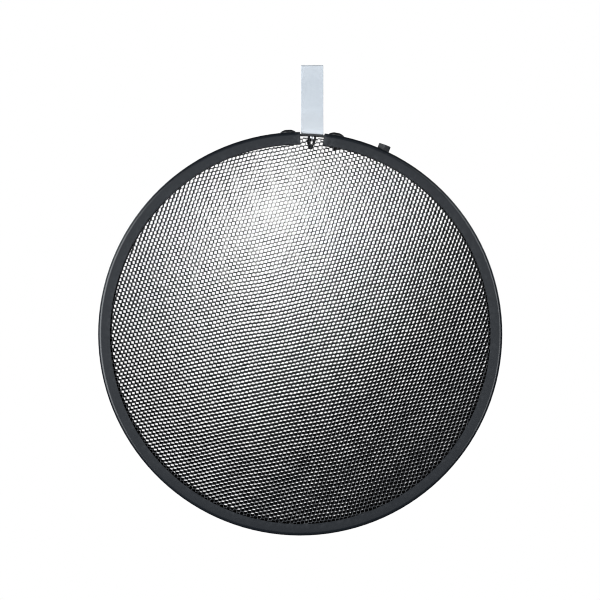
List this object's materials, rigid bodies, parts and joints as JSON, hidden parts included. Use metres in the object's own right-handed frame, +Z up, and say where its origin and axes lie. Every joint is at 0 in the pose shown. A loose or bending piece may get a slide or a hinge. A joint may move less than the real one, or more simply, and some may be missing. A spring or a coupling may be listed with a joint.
{
  "type": "studio honeycomb light grid",
  "caption": "Round studio honeycomb light grid: open hexagonal foil core in a black rolled channel rim, with a riveted webbing pull tab.",
  "frame": {"origin": "centre of the disc, half way through its depth", "axes": "+Z up, towards the pull tab; +Y along the disc axis, from the front face to the back face; +X right, seen from the front"},
  "size_m": [0.337, 0.0222, 0.393],
  "materials": {
    "rim_paint": "satin black powder coat over rolled aluminium",
    "core_foil": "matte black coating over aluminium foil",
    "plate_paint": "satin black over aluminium",
    "rivet_paint": "black paint over an aluminium rivet",
    "rivet_bright": "bright aluminium",
    "mandrel_steel": "plain steel, snapped end",
    "tab_webbing": "coated pale grey webbing",
    "screw_black": "black oxide steel"
  },
  "bodies": {
    "grid": {"rim_channel": "rim_paint", "honeycomb_core": "core_foil", "splice_plate": "plate_paint", "splice_rivets": "rivet_paint", "splice_rivet_mandrels": "mandrel_steel", "tab_foot": "tab_webbing", "tab_rivet": "rivet_bright", "tab_rivet_mandrel": "mandrel_steel", "locating_screw": "screw_black", "locating_nut": "screw_black"},
    "tab_neck": {"tab_lower": "tab_webbing"},
    "tab_end": {"tab_upper": "tab_webbing"}
  },
  "joints": [
    {"name": "tab_fold", "type": "hinge", "parent": "grid", "child": "tab_neck", "pos_m": [0.00996, 0, 0.17942], "axis": [1, 0, 0], "range_deg": [-90, 90], "stiffness_Nm_per_rad": 0.004},
    {"name": "tab_bend", "type": "hinge", "parent": "tab_neck", "child": "tab_end", "pos_m": [0.00996, 0, 0.19242], "axis": [1, 0, 0], "range_deg": [-90, 90], "stiffness_Nm_per_rad": 0.004}
  ]
}
